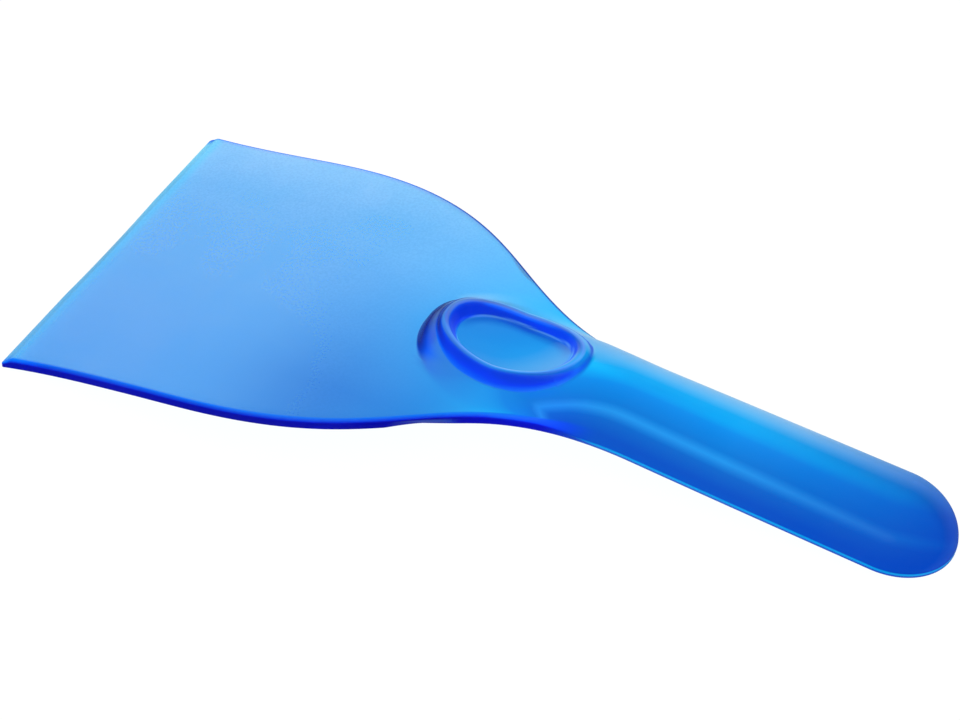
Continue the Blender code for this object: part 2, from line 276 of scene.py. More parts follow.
def rim_height(x, y):
    """The thumb rest's rim at each point, and how far the point lies outside its crest."""
    front = x < NOSE_X
    reach = np.where(front, REST_FRONT, REST_BACK)
    along = abs(x - NOSE_X) / reach
    across = abs(y) / REST_HALF_WIDTH
    radius = rest_radius(along, across)
    growth_x = (along / radius) ** (REST_POWER - 1.0) / reach
    growth_y = (across / radius) ** (REST_POWER - 1.0) / REST_HALF_WIDTH
    outside = (radius - 1.0) / np.maximum(np.hypot(growth_x, growth_y), 1e-6)
    turn = np.minimum(along / radius, 1.0)
    front_rise = CREST_FRONT_RISE * turn**CREST_FRONT_TURN
    back_rise = CREST_BACK_RISE * turn**CREST_BACK_TURN
    widening = np.where(front, CREST_FRONT_WIDENING, CREST_BACK_WIDENING)
    round_over = CREST_RADIUS + widening * turn**4
    distance = abs(outside)
    arc = round_over * math.sin(CREST_SLOPE)
    drop = round_over - np.sqrt(round_over**2 - np.minimum(distance, arc) ** 2)
    drop += np.maximum(distance - arc, 0.0) * math.tan(CREST_SLOPE)
    return CREST_HEIGHT + np.where(front, front_rise, back_rise) - drop, outside


def upper_height(x, y, edge_distance):
    """Height of the upper skin above the underside plane."""
    rim, outside = rim_height(x, y)
    arch = arch_height(x, y, 0.0, 0.0)
    body = smooth_max(plate_height(x, edge_distance), arch, nose_blend(x, y))
    bowl = smooth_max(bowl_height(x, y), rim, RIM_FOOT_BLEND)
    return np.where(outside < 0.0, bowl, smooth_max(body, rim, RIM_FOOT_BLEND))


def hollow_height(x, y):
    """Height of the handle's hollow back, which stays one wall under the bowl."""
    draft = mix(NOSE_DRAFT, 0.0, smooth_step(NOSE_X, CROWN_FULL_X, x))
    arch = arch_height(x, y, WALL, draft)
    under_bowl = np.where(x > NOSE_X + REST_BACK, arch + WALL, bowl_height(x, y) - WALL)
    return np.maximum(smooth_min(arch, under_bowl, MM), 0.0)


def row_positions(loops, reach):
    """Row x along one skin, up to where the round end starts."""
    near_nose = NOSE_X - 2.0 * reach
    turns = np.linspace(0.0, math.pi / 2.0, CORNER_STEPS + 1)
    blade = np.concatenate([
        CORNER_RADIUS * (1.0 - np.cos(turns))[:-1],
        np.linspace(CORNER_RADIUS, BEHIND_BEVEL, BEVEL_STEPS + 1)[:-1],
        np.linspace(BEHIND_BEVEL, BEND_START_X, FLAT_STEPS + 1)[:-1],
        np.linspace(BEND_START_X, near_nose, BEND_STEPS + 1)[:-1],
        np.linspace(near_nose, NOSE_X - loops[-1] * reach, NEAR_NOSE_STEPS + 1)[:-1],
    ])
    front = NOSE_X - loops[:0:-1] * reach
    back = NOSE_X + BACK_LOOPS * REST_BACK
    handle = np.linspace(back[-1], LENGTH - ROUND_END_LENGTH, HANDLE_STEPS + 1)[1:]
    return np.concatenate([blade, front, back, handle])


def upper_columns(x):
    """Offsets of the upper skin's columns from the centre line, one row for each x."""
    half = half_width(x)[:, None]
    radius = plate_thickness(x)[:, None] * FILLET_SHARE
    foot = np.minimum(LOOPS[-1] * REST_HALF_WIDTH, half - 3.0 * radius)
    share = (LOOPS[CREST_STEPS + 1 :] - 1.0) / (LOOPS[-1] - 1.0)
    inner = LOOPS[: CREST_STEPS + 1] * REST_HALF_WIDTH + 0.0 * half
    blade = np.concatenate([
        inner,
        mix(REST_HALF_WIDTH, foot, share),
        mix(foot, half - radius, np.linspace(0.0, 1.0, WING_STEPS + 1)[1:]),
        half - radius * (1.0 - np.sin(np.linspace(0.0, math.pi / 2.0, FILLET_STEPS + 1)[1:])),
    ], axis=1)
    share = np.linspace(0.0, 1.0, COLUMNS - CREST_STEPS + 1)
    outer = half * np.sin(mix(np.arcsin(REST_HALF_WIDTH / half), math.pi / 2.0, share))
    handle = np.concatenate([inner[:, :CREST_STEPS], outer], axis=1)
    return mix(blade, handle, smooth_step(*LAYOUT_CHANGE, x)[:, None])


def lower_columns(x):
    """Offsets of the lower skin's columns: across the hollow, then over the flat beside it."""
    foot = (arch_half_width(x) - WALL)[:, None]
    half = half_width(x)[:, None]
    hollow = HOLLOW_LOOPS[: HOLLOW_STEPS + 1] * foot
    flat = mix(foot, half, np.linspace(0.0, 1.0, COLUMNS - HOLLOW_STEPS + 1)[1:])
    return np.concatenate([hollow, flat], axis=1)


def both_sides(offsets):
    return np.concatenate([-offsets[:, :0:-1], offsets], axis=1)


def follow_oval(x, y, reach, half, radius, fades):
    """Pulls square loops of the grid round the nose's centre onto ovals of one size."""
    along = (x - NOSE_X) / reach
    across = y / half
    square = np.maximum(abs(along), abs(across))
    pull = square / np.maximum(radius(along, across), 1e-9)
    fade = np.clip((square - fades[0]) / (fades[1] - fades[0]), 0.0, 1.0)
    scale = np.where(square > 1e-9, mix(pull, 1.0, fade), 1.0)
    return NOSE_X + along * scale * reach, y * scale


def round_end(side, last, rim_side):
    """Plan positions of the rows round the handle's end, for columns at multiples of the last
    row's inner half width. Past 1 both rows and columns lie on the rim's flat ring."""
    rings = np.linspace(1.0, 1.0 + rim_side, END_RIM_STEPS + 1)[1:] if rim_side else []
    steps = END_STEPS - len(rings)
    along = np.sin(np.linspace(0.0, math.pi / 2.0, steps + 1))[1:]
    along = np.concatenate([along, rings])[:, None]
    size = np.maximum(np.maximum(along, abs(side)), 1.0)
    reach = ROUND_END_LENGTH - last
    width = HANDLE_HALF_WIDTH - last
    grow = (size - 1.0) * width
    unit_x = along / size * np.sqrt(1.0 - (side / size) ** 2 / 2.0)
    unit_y = side / size * np.sqrt(1.0 - (along / size) ** 2 / 2.0)
    return LENGTH - ROUND_END_LENGTH + unit_x * (reach + grow), unit_y * (width + grow)


def upper_skin():
    rows = row_positions(LOOPS, REST_FRONT)
    offsets = both_sides(upper_columns(rows))
    x = rows[:, None] + 0.0 * offsets
    edge_distance = half_width(x) - abs(offsets)
    front = x < NOSE_X
    reach = np.where(front, REST_FRONT, REST_BACK)
    fades = [np.where(front, *pair) for pair in zip(FRONT_FADE, BACK_FADE)]
    x, y = follow_oval(x, offsets, reach, REST_HALF_WIDTH, rest_radius, fades)
    end_x, end_y = round_end(offsets[-1:] / HANDLE_HALF_WIDTH, 0.0, 0.0)
    x, y = np.concatenate([x, end_x]), np.concatenate([y, end_y])
    edge_distance = np.concatenate([edge_distance, np.full(end_x.shape, ROUND_END_LENGTH)])
    height = upper_height(x, y, edge_distance)
    for edge in (np.s_[0], np.s_[-1], np.s_[:, 0], np.s_[:, -1]):
        height[edge] = plate_height(x[edge], 0.0)
    return x, y, underside_plane(x) + height


def lower_skin():
    reach = NOSE_REACH - WALL
    rows = row_positions(HOLLOW_LOOPS, reach)
    offsets = both_sides(lower_columns(rows))
    x = rows[:, None] + 0.0 * offsets
    pulled_x, pulled_y = follow_oval(x, offsets, reach, NOSE_HALF_WIDTH - WALL, np.hypot, FRONT_FADE)
    y = np.where(x < NOSE_X, pulled_y, offsets)
    x = np.where(x < NOSE_X, pulled_x, x)
    inner = HANDLE_HALF_WIDTH - WALL
    end_x, end_y = round_end(offsets[-1:] / inner, WALL, WALL / inner)
    x, y = np.concatenate([x, end_x]), np.concatenate([y, end_y])
    height = hollow_height(x, y)
    for edge in (np.s_[0], np.s_[-1], np.s_[:, 0], np.s_[:, -1]):
        height[edge] = 0.0
    return x, y, underside_plane(x) + height


def at_rest(x, y, z):
    """Turns points of the handle's frame so that both resting places are level."""
    drop = -float(underside_plane(np.float64(0.0)))
    tilt = math.atan2(drop, LENGTH)
    z = z + drop
    return np.stack([
        x * math.cos(tilt) + z * math.sin(tilt),
        y,
        z * math.cos(tilt) - x * math.sin(tilt),
    ], axis=-1)


def grid_faces(rows, columns, first, flip):
    corner = first + np.arange(rows - 1)[:, None] * columns + np.arange(columns - 1)
    quads = np.stack([corner, corner + columns, corner + columns + 1, corner + 1], axis=-1)
    quads = quads.reshape(-1, 4)
    return quads[:, ::-1] if flip else quads


def edge_loop(rows, columns):
    """Indices of a grid's boundary, in order."""
    index = np.arange(rows * columns).reshape(rows, columns)
    return np.concatenate([index[0, :-1], index[:-1, -1], index[-1, :0:-1], index[:0:-1, 0]])


def mark_sharp(mesh, rows, columns):
    """Keeps the cutting edge, the underside's outline and the hollow's foot crisp."""
    count = rows * columns
    side = np.zeros(2 * count, dtype=int)
    lower = np.arange(count).reshape(rows, columns) + count
    for name, edge in enumerate((lower[0], lower[-1], lower[:, 0], lower[:, -1])):
        side[edge] |= 1 << name
    side[:columns] |= 1 << 4
    middle = columns // 2
    last = rows - 1 - END_RIM_STEPS
    first = FIRST_HOLLOW_ROW
    for name, column in enumerate((middle - HOLLOW_STEPS, middle + HOLLOW_STEPS)):
        side[lower[first : last + 1, column]] |= 1 << (5 + name)
    for name, row in enumerate((first, last)):
        across = lower[row, middle - HOLLOW_STEPS : middle + HOLLOW_STEPS + 1]
        side[across] |= 1 << (7 + name)
    ends = np.empty(2 * len(mesh.edges), dtype=np.int32)
    mesh.edges.foreach_get("vertices", ends)
    ends = ends.reshape(-1, 2)
    sharp = (side[ends[:, 0]] & side[ends[:, 1]]) != 0
    layer = mesh.attributes.new("sharp_edge", "BOOLEAN", "EDGE")
    layer.data.foreach_set("value", sharp)


def set_down():
    """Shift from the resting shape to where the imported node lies."""
    low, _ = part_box(NODE)
    return np.array([low.x, 0.0, low.z])


# Widths of the zones that the plastic's painted light and shade depend on
BOWL_SHADE_WIDTH = 1.6 * MM
CREASE_GAP = 0.4 * MM
CREST_LINE = 0.7 * MM
DIM_START = (0.4 * MM, 1.2 * MM)
DIM_END = (1.5 * MM, 6.0 * MM)
DIM_SIDE = (-1.0 * MM, 4.0 * MM)
FLANK_ZONE = (102.0 * MM, 113.0 * MM)
FLANK_BEYOND_REST = (3.0 * MM, 4.5 * MM)
EDGE_BAND = (0.75 * MM, 1.2 * MM)
UNDER_EDGE_BAND = 0.2 * MM
OUTLINE_BAND = (0.85 * MM, 1.35 * MM)
OUTLINE_ZONE = (50.0 * MM, 95.0 * MM)


def rest_marks(x, y):
    """How far each point is part of the thumb rest's bowl (painted shade), of the crease at the foot
    of its wall (painted highlight), of the dim band below its far wall (painted shadow) and of the
    line on its crest (painted highlight), or of the flank beyond it."""
    rim, outside = rim_height(x, y)
    inside = smooth_step(0.0, BOWL_SHADE_WIDTH, -outside)
    gap = abs(bowl_height(x, y) - rim)
    band = smooth_step(*DIM_START, gap) * (1.0 - smooth_step(*DIM_END, gap))
    return {
        "bowl": inside,
        "crease": np.where(outside < 0.0, 1.0 - smooth_step(0.0, CREASE_GAP, gap), 0.0),
        "dim": band * inside * smooth_step(*DIM_SIDE, y),
        "crest": 1.0 - smooth_step(0.0, CREST_LINE, abs(outside + CREST_LINE / 2.0)),
        "flank": smooth_step(*FLANK_ZONE, x) * smooth_step(*FLANK_BEYOND_REST, outside),
    }


def upper_marks(x, y, z):
    """What the plastic's looks, most of them painted light and shade, depend on at each point of the
    upper skin: the distance along the moulding, the height over its underside, the rounded side edge,
    the outline along the far edge, and the zones round the thumb rest."""
    outline = 1.0 - smooth_step(*OUTLINE_BAND, half_width(x) - y)
    return {
        "along": x,
        "lift": z - underside_plane(x),
        "edge": 1.0 - smooth_step(*EDGE_BAND, half_width(x) - abs(y)),
        "outline": outline * smooth_step(*OUTLINE_ZONE, x),
        **rest_marks(x, y),
    }


def lower_marks(x, y, _):
    """The same for the lower skin, where the marks left out are 0."""
    return {
        "along": x,
        "lift": np.full(x.shape, BOWL_HEIGHT),
        "edge": 1.0 - smooth_step(0.0, UNDER_EDGE_BAND, half_width(x) - abs(y)),
    }


def add_marks(mesh, upper, lower):
    none = np.zeros(lower[0].shape)
    below = lower_marks(*lower)
    for name, values in upper_marks(*upper).items():
        both = np.concatenate([values.ravel(), below.get(name, none).ravel()])
        mark = mesh.attributes.new(name, "FLOAT", "POINT")
        mark.data.foreach_set("value", both)


def moulding():
    """The whole closed surface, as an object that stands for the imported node."""
    skins = [upper_skin(), lower_skin()]
    rows, columns = skins[0][0].shape
    points = np.concatenate([at_rest(*skin).reshape(-1, 3) for skin in skins])
    count = rows * columns
    loop = edge_loop(rows, columns)
    after = np.roll(loop, -1)
    band = np.stack([loop, after, after + count, loop + count], axis=-1)
    faces = np.concatenate([
        grid_faces(rows, columns, 0, False),
        grid_faces(rows, columns, count, True),
        band,
    ])
    points += set_down()
    mesh = bpy.data.meshes.new("scraper_body")
    mesh.from_pydata(points.tolist(), [], faces.tolist())
    mesh.shade_smooth()
    mark_sharp(mesh, rows, columns)
    add_marks(mesh, *skins)
    body = bpy.data.objects.new("scraper_body", mesh)
    bpy.context.scene.collection.objects.link(body)
    return body


def set_inputs(made, values):
    for name, value in values.items():
        made.inputs[name].default_value = value
    return made


def add(tree, kind, values={}, **settings):
    """A shader node with its input values and its settings."""
    made = tree.nodes.new("ShaderNode" + kind)
    for name, value in settings.items():
        setattr(made, name, value)
    return set_inputs(made, values)


def attribute(tree, name):
    return add(tree, "Attribute", attribute_name=name).outputs["Fac"]


def noise(tree, place, scale):
    """Noise between 0 and 1, with its scale in cycles per metre."""
    made = add(tree, "TexNoise", {"Scale": scale, "Detail": 3.0})
    tree.links.new(place, made.inputs["Vector"])
    return made.outputs["Fac"]


def ramp(tree, value, low, high, first, last):
    """Maps a value from one range to another, with smooth ends."""
    made = add(tree, "MapRange", {
        "From Min": low, "From Max": high, "To Min": first, "To Max": last,
    }, interpolation_type="SMOOTHSTEP")
    tree.links.new(value, made.inputs["Value"])
    return made.outputs["Result"]


def linear(tree, value, low, high, first, last):
    """Maps a value from one range to another, and no further."""
    made = add(tree, "MapRange", {
        "From Min": low, "From Max": high, "To Min": first, "To Max": last,
    })
    tree.links.new(value, made.inputs["Value"])
    return made.outputs["Result"]


def maths(tree, operation, first, second):
    made = add(tree, "Math", operation=operation)
    for slot, value in zip(made.inputs, (first, second)):
        if isinstance(value, float):
            slot.default_value = value
        else:
            tree.links.new(value, slot)
    return made.outputs["Value"]


def mix_colours(tree, share, first, second):
    made = add(tree, "Mix", data_type="RGBA")
    for slot, value in ((0, share), (6, first), (7, second)):
        if isinstance(value, (tuple, float)):
            made.inputs[slot].default_value = value
        else:
            tree.links.new(value, made.inputs[slot])
    return made.outputs[2]


# Light that the plastic takes in, per metre of red, green and blue
ABSORPTION = (1500.0, 87.0, 5.0)
ABSORPTION_SCALE = 1600.0

# Satin surface: patches of roughness, and a fine grain, in cycles per metre
PATCHES_PER_METRE = 45.0
GRAINS_PER_METRE = 1500.0
ROUGHNESS = (0.20, 0.27)
BUMP_STRENGTH = 0.32
BUMP_DEPTH = 0.05 * MM
PATCH_HAZE = (0.88, 1.12)
GRAIN_HAZE = (0.92, 1.08)

# The blade, from its near side to its far side: painted shade on the near side and painted light on
# the far side over the plastic's own tint, more painted haze towards the far side, and a painted pale
# band at the far edge
BLADE_TINTS = ((0.75, 0.42, 0.86, 1.0), (1.0, 0.62, 0.92, 1.0))
BLADE_HAZES = (0.17, 0.31)
BLADE_HAZE = (0.80, 0.82, 1.0, 1.0)
FAR_EDGE = (0.80, 1.0)
FAR_EDGE_PAINTED_HAZE = 0.16
BLADE_SPREAD = 1.5

# Painted lighter strip behind the bevel
LEAD_ZONE = (3.6 * MM, 6.6 * MM)
LEAD_PAINTED_LIGHT = (0.35, 0.85, 1.0, 1.0)
LEAD_SHARE = 0.8
LEAD_PAINTED_HAZE = 0.10

# Painted light and shade on the handle, from faces turned away from the painted back light to faces
# turned towards it. On the far side it starts later than on the near side. Towards the tail it turns
# to a painted darker shade
PAINTED_BACK_LIGHT = (-0.2, 0.75, 0.63)
HANDLE_SHADES = (
    (0.24, (0.0, 0.10, 0.55, 1.0)),
    (0.385, (0.0, 0.16, 0.59, 1.0)),
    (0.47, (0.01, 0.34, 0.80, 1.0)),
    (0.54, (0.0, 0.22, 0.66, 1.0)),
    (0.705, (0.0, 0.30, 0.80, 1.0)),
    (0.815, (0.0, 0.60, 1.0, 1.0)),
    (0.9, (0.0, 0.68, 1.0, 1.0)),
)
HANDLE_GLOW = 0.55
HANDLE_ZONE = (45.0 * MM, 130.0 * MM)
LATE_SIDES = (0.5, 0.9)
LATE_BY = 24.0 * MM
TAIL_ZONE = (178.0 * MM, 238.0 * MM)
TAIL_SHADE = (0.0, 0.065, 0.50, 1.0)

# Painted shade on the near side of the bend
BEND_SHADE = (0.03, 0.17, 0.60, 1.0)
BEND_ZONE = (45.0 * MM, 88.0 * MM)
BEND_ZONE_END = (105.0 * MM, 135.0 * MM)
BEND_SIDES = (0.2, 0.7)
BEND_SHARE = 0.7

# Painted shade on the steep walls of the blade's edge, the nose and the thumb rest, from level to
# upright normals
WALL_SHADES = (
    (0.48, (0.0, 0.0, 0.44, 1.0)),
    (0.56, (0.0, 0.004, 0.66, 1.0)),
    (0.64, (0.0, 0.05, 1.0, 1.0)),
    (0.80, (0.0, 0.12, 1.0, 1.0)),
    (1.0, (0.0, 0.22, 1.0, 1.0)),
)
WALL_STEEPNESS = (0.70, 0.92)
WALL_ZONE_END = (134.0 * MM, 148.0 * MM)
WALL_GLOW = 0.45

# Thumb rest: painted shade on its floor, a painted shadow band and a painted highlight along the
# crease round it, and a painted highlight line on its crest
BOWL_SHADE = (0.01, 0.19, 0.66, 1.0)
BOWL_SHARE = 0.6
DIM_SHADOW = (0.0, 0.06, 0.50, 1.0)
DIM_SHARE = 0.7
CREASE_HIGHLIGHT = (0.35, 0.70, 1.0, 1.0)
CREASE_SHARE = 0.8
CREST_HIGHLIGHT = (0.42, 0.42, 1.0, 1.0)
CREST_SHARE = 0.5

# Painted shade and light at the foot of the handle's side: a painted dark outline with a painted
# bright line over it
FOOT_SHADES = (
    (0.0, (0.0, 0.03, 0.30, 1.0)),
    (0.35, (0.0, 0.06, 0.45, 1.0)),
    (0.6, (0.0, 0.62, 1.0, 1.0)),
    (1.0, (0.0, 0.20, 0.62, 1.0)),
)
FOOT_HEIGHT = 1.5 * MM
FOOT_FADE = (0.75, 1.0)
FOOT_ZONE = (136.0 * MM, 152.0 * MM)

# Painted dark shade along outlines: the front of the nose, seen at a low angle, and the far side edge
DARK_SHADE = (0.0, 0.015, 0.22, 1.0)
FRONT_TURN = (0.56, 0.74)
FRONT_ZONE = (88.0 * MM, 93.0 * MM)
FRONT_FACING = (0.2, 0.62)
FRONT_SHARE = 0.9
OUTLINE_SHARE = 0.85

# Painted sheen: a pale painted reflection on the satin surface where it is seen at a low angle, and
# what is left of it on the blade, on the walls and at the tail
PAINTED_SHEEN = (0.76, 0.68, 0.72, 1.0)
VEIL_FACING = (0.33, 1.0)
VEIL_SHARE = 0.72
BLADE_VEIL = 0.18
WALL_VEIL = 0.15
TAIL_VEIL = 0.1
TAIL_VEIL_ZONE = (0.2, 0.9)

# What shadow and bounced light see instead of the plastic
PASSES_LIGHT = (0.97, 0.98, 0.99, 1.0)


def product(tree, first, *factors):
    for factor in factors:
        first = maths(tree, "MULTIPLY", first, factor)
    return first


def remainder(tree, value):
    return maths(tree, "SUBTRACT", 1.0, value)


def gradient(tree, value, stops):
    made = add(tree, "ValToRGB")
    scale = made.color_ramp
    while len(scale.elements) < len(stops):
        scale.elements.new(1.0)
    for element, (position, colour) in zip(scale.elements, stops):
        element.position = position
        element.color = colour
    tree.links.new(value, made.inputs["Fac"])
    return made.outputs["Color"]


def mix_shaders(tree, share, first, second):
    made = add(tree, "MixShader", {0: share} if isinstance(share, float) else {})
    if not isinstance(share, float):
        tree.links.new(share, made.inputs[0])
    tree.links.new(first.outputs[0], made.inputs[1])
    tree.links.new(second.outputs[0], made.inputs[2])
    return made


def soft(tree, colour):
    """Light scattered just under the surface, from both sides of the wall."""
    lobes = [add(tree, "BsdfDiffuse"), add(tree, "BsdfTranslucent")]
    for lobe in lobes:
        if isinstance(colour, tuple):
            lobe.inputs["Color"].default_value = colour
        else:
            tree.links.new(colour, lobe.inputs["Color"])
    return mix_shaders(tree, 0.5, *lobes)


def towards(tree, vector, heading):
    """How far a vector points along a heading, from 0 for against it to 1 for along it."""
    made = add(tree, "VectorMath", operation="DOT_PRODUCT")
    made.inputs[1].default_value = heading
    tree.links.new(vector, made.inputs[0])
    return linear(tree, made.outputs["Value"], -1.0, 1.0, 0.0, 1.0)


def readings(tree):
    """What the plastic's looks are worked out from at each point of its surface."""
    place = add(tree, "TexCoord").outputs["Object"]
    parts = add(tree, "SeparateXYZ")
    tree.links.new(place, parts.inputs["Vector"])
    geometry = add(tree, "NewGeometry")
    normal = geometry.outputs["Normal"]
    along = attribute(tree, "along")
    side = linear(tree, parts.outputs["Y"], -EDGE_HALF_WIDTH, EDGE_HALF_WIDTH, 0.0, 1.0)
    later = linear(tree, side, *LATE_SIDES, 0.0, LATE_BY)
    return SimpleNamespace(
        along=along,
        side=side,
        far=maths(tree, "POWER", side, BLADE_SPREAD),
        handle=ramp(tree, maths(tree, "SUBTRACT", along, later), *HANDLE_ZONE, 0.0, 1.0),
        tail=linear(tree, along, *TAIL_ZONE, 0.0, 1.0),
        lead=ramp(tree, along, *LEAD_ZONE, 1.0, 0.0),
        foot=linear(tree, attribute(tree, "lift"), 0.0, FOOT_HEIGHT, 0.0, 1.0),
        normal=normal,
        upright=towards(tree, normal, (0.0, 0.0, 1.0)),
        facing=add(tree, "LayerWeight", {"Blend": 0.5}).outputs["Facing"],
        outer=remainder(tree, geometry.outputs["Backfacing"]),
        patches=noise(tree, place, PATCHES_PER_METRE),
        grain=noise(tree, place, GRAINS_PER_METRE),
    )


# Share of the painted shade on the near side of the bend
def near_bend(tree, at):
    started = ramp(tree, at.along, *BEND_ZONE, 0.0, 1.0)
    ended = ramp(tree, at.along, *BEND_ZONE_END, 0.0, 1.0)
    within = maths(tree, "SUBTRACT", started, ended)
    return product(tree, within, linear(tree, at.side, *BEND_SIDES, BEND_SHARE, 0.0))


# Share of the painted dark outline and bright line along the foot of the handle's side
def handle_foot(tree, at):
    low = ramp(tree, at.foot, *FOOT_FADE, 1.0, 0.0)
    return product(tree, low, ramp(tree, at.along, *FOOT_ZONE, 0.0, 1.0))


def walls(tree, at):
    """Where painted wall shade goes: steep faces, apart from the bevel and the flank to the neck, and
    the rounded side edge.
    """
    steep = [(1.0 + z) / 2.0 for z in WALL_STEEPNESS]
    wall = ramp(tree, at.upright, *steep, 1.0, 0.0)
    wall = product(tree, wall, remainder(tree, at.lead))
    wall = product(tree, wall, remainder(tree, attribute(tree, "flank")))
    wall = maths(tree, "MAXIMUM", wall, attribute(tree, "edge"))
    return product(tree, wall, ramp(tree, at.along, *WALL_ZONE_END, 1.0, 0.0))


def outlines(tree, at):
    """Where painted dark shade goes: the nose's front, where it turns away from the eye, and the line
    along the far edge.
    """
    front = ramp(tree, towards(tree, at.normal, (-1.0, 0.0, 0.0)), *FRONT_TURN, 0.0, 1.0)
    zone = ramp(tree, at.along, *FRONT_ZONE, 0.0, 1.0)
    turning = ramp(tree, at.facing, *FRONT_FACING, 0.0, FRONT_SHARE)
    front = product(tree, front, zone, turning, remainder(tree, attribute(tree, "bowl")))
    line = product(tree, attribute(tree, "outline"), OUTLINE_SHARE)
    return maths(tree, "MAXIMUM", front, line)


def cover(tree, coats, layers):
    """Lays further colours over every coat, each over its share of the surface."""
    for share, colour in layers:
        coats = [mix_colours(tree, share, coat, colour) for coat in coats]
    return coats


def tint_and_glow(tree, at, wall, dark):
    """Colours of the clear plastic and of the light scattered in it, with painted light and shade
    laid over both: the handle's shades, the bend, the thumb rest, the handle's foot, the walls and
    the dark outlines.
    """
    # Painted light and shade: the handle's colour by how far each face turns to the painted back
    # light, darker towards the tail
    lit = towards(tree, at.normal, PAINTED_BACK_LIGHT)
    shade = mix_colours(tree, at.tail, gradient(tree, lit, HANDLE_SHADES), TAIL_SHADE)
    tint = mix_colours(tree, at.handle, mix_colours(tree, at.far, *BLADE_TINTS), shade)
    glow = mix_colours(tree, at.handle, BLADE_HAZE, shade)
    tint, glow = cover(tree, (tint, glow), (
        (near_bend(tree, at), BEND_SHADE),
        (product(tree, attribute(tree, "bowl"), BOWL_SHARE), BOWL_SHADE),
        (product(tree, attribute(tree, "dim"), DIM_SHARE), DIM_SHADOW),
        (handle_foot(tree, at), gradient(tree, at.foot, FOOT_SHADES)),
    ))
    # Painted lighter strip behind the bevel, in the glow only
    glow = mix_colours(tree, product(tree, at.lead, LEAD_SHARE), glow, LEAD_PAINTED_LIGHT)
    return cover(tree, (tint, glow), (
        (wall, gradient(tree, at.upright, WALL_SHADES)),
        (product(tree, attribute(tree, "crease"), CREASE_SHARE), CREASE_HIGHLIGHT),
        (product(tree, attribute(tree, "crest"), CREST_SHARE), CREST_HIGHLIGHT),
        (dark, DARK_SHADE),
    ))


def clear_plastic(tree, at, tint):
    """Rough refraction, with a fine grain."""
    bump = add(tree, "Bump", {"Strength": BUMP_STRENGTH, "Distance": BUMP_DEPTH})
    tree.links.new(at.grain, bump.inputs["Height"])
    made = add(tree, "BsdfPrincipled", {"IOR": 1.49, "Transmission Weight": 1.0})
    tree.links.new(tint, made.inputs["Base Color"])
    tree.links.new(ramp(tree, at.patches, 0.3, 0.7, *ROUGHNESS), made.inputs["Roughness"])
    tree.links.new(bump.outputs["Normal"], made.inputs["Normal"])
    return made


def mix_amounts(tree, share, first, second):
    """A value that goes from one value to a fixed other one."""
    made = add(tree, "Mix", {3: second}, data_type="FLOAT")
    tree.links.new(share, made.inputs[0])
    tree.links.new(first, made.inputs[2])
    return made.outputs[0]


def glow_amount(tree, at, wall):
    """How much of the surface's light is scattered: patchy and grainy haze in the blade, and a steady
    glow in the handle and the walls. Only faces towards the outside glow. The haze grows as painted
    light towards the blade's far side, at its far edge and behind the bevel."""
    haze = linear(tree, at.far, 0.0, 1.0, *BLADE_HAZES)
    haze = maths(tree, "ADD", haze, linear(tree, at.side, *FAR_EDGE, 0.0, FAR_EDGE_PAINTED_HAZE))
    haze = maths(tree, "ADD", haze, product(tree, at.lead, LEAD_PAINTED_HAZE))
    haze = product(tree, haze, ramp(tree, at.patches, 0.25, 0.75, *PATCH_HAZE))
    haze = product(tree, haze, ramp(tree, at.grain, 0.3, 0.7, *GRAIN_HAZE))
    amount = mix_amounts(tree, at.handle, haze, HANDLE_GLOW)
    return product(tree, mix_amounts(tree, wall, amount, WALL_GLOW), at.outer)


# Share of the painted sheen: strongest at a low angle, less on the blade, the walls and the tail,
# none on the dark outlines
def painted_sheen_amount(tree, at, wall, dark):
    return product(
        tree,
        linear(tree, at.facing, *VEIL_FACING, 0.0, VEIL_SHARE),
        linear(tree, at.tail, *TAIL_VEIL_ZONE, 1.0, TAIL_VEIL),
        linear(tree, at.handle, 0.0, 1.0, BLADE_VEIL, 1.0),
        linear(tree, wall, 0.0, 1.0, 1.0, WALL_VEIL),
        remainder(tree, dark),
        at.outer,
    )


def absorption(tree):
    taken = [1.0 - lost / ABSORPTION_SCALE for lost in ABSORPTION]
    return add(tree, "VolumeAbsorption", {"Color": (*taken, 1.0), "Density": ABSORPTION_SCALE})


def blue_plastic():
    """Satin translucent plastic: rough refraction at the surface, blue absorption inside, and light
    scattered in the wall, which is palest in the blade and bluest in the handle. Its colours also
    carry painted light and shade, painted highlights and a painted sheen."""
    material = bpy.data.materials.new("blue_plastic")
    material.use_nodes = True
    tree = material.node_tree
    tree.nodes.clear()
    at = readings(tree)
    wall = walls(tree, at)
    dark = outlines(tree, at)
    tint, glow = tint_and_glow(tree, at, wall, dark)
    plastic = clear_plastic(tree, at, tint)
    plastic = mix_shaders(tree, glow_amount(tree, at, wall), plastic, soft(tree, glow))
    sheen_share = painted_sheen_amount(tree, at, wall, dark)
    plastic = mix_shaders(tree, sheen_share, plastic, soft(tree, PAINTED_SHEEN))

    clear = add(tree, "BsdfTransparent", {"Color": PASSES_LIGHT})
    path = add(tree, "LightPath").outputs
    unseen = maths(tree, "MAXIMUM", path["Is Shadow Ray"], path["Is Diffuse Ray"])
    output = add(tree, "OutputMaterial")
    shown = mix_shaders(tree, unseen, plastic, clear)
    tree.links.new(shown.outputs[0], output.inputs["Surface"])
    tree.links.new(absorption(tree).outputs[0], output.inputs["Volume"])
    return material


def reflected_only(tree):
    """1 on a ray that a surface has mirrored, and 0 on one that came through it."""
    path = add(tree, "LightPath")
    made = add(tree, "Math", operation="SUBTRACT", use_clamp=True)
    tree.links.new(path.outputs["Is Glossy Ray"], made.inputs[0])
    tree.links.new(path.outputs["Is Transmission Ray"], made.inputs[1])
    return made.outputs["Value"]


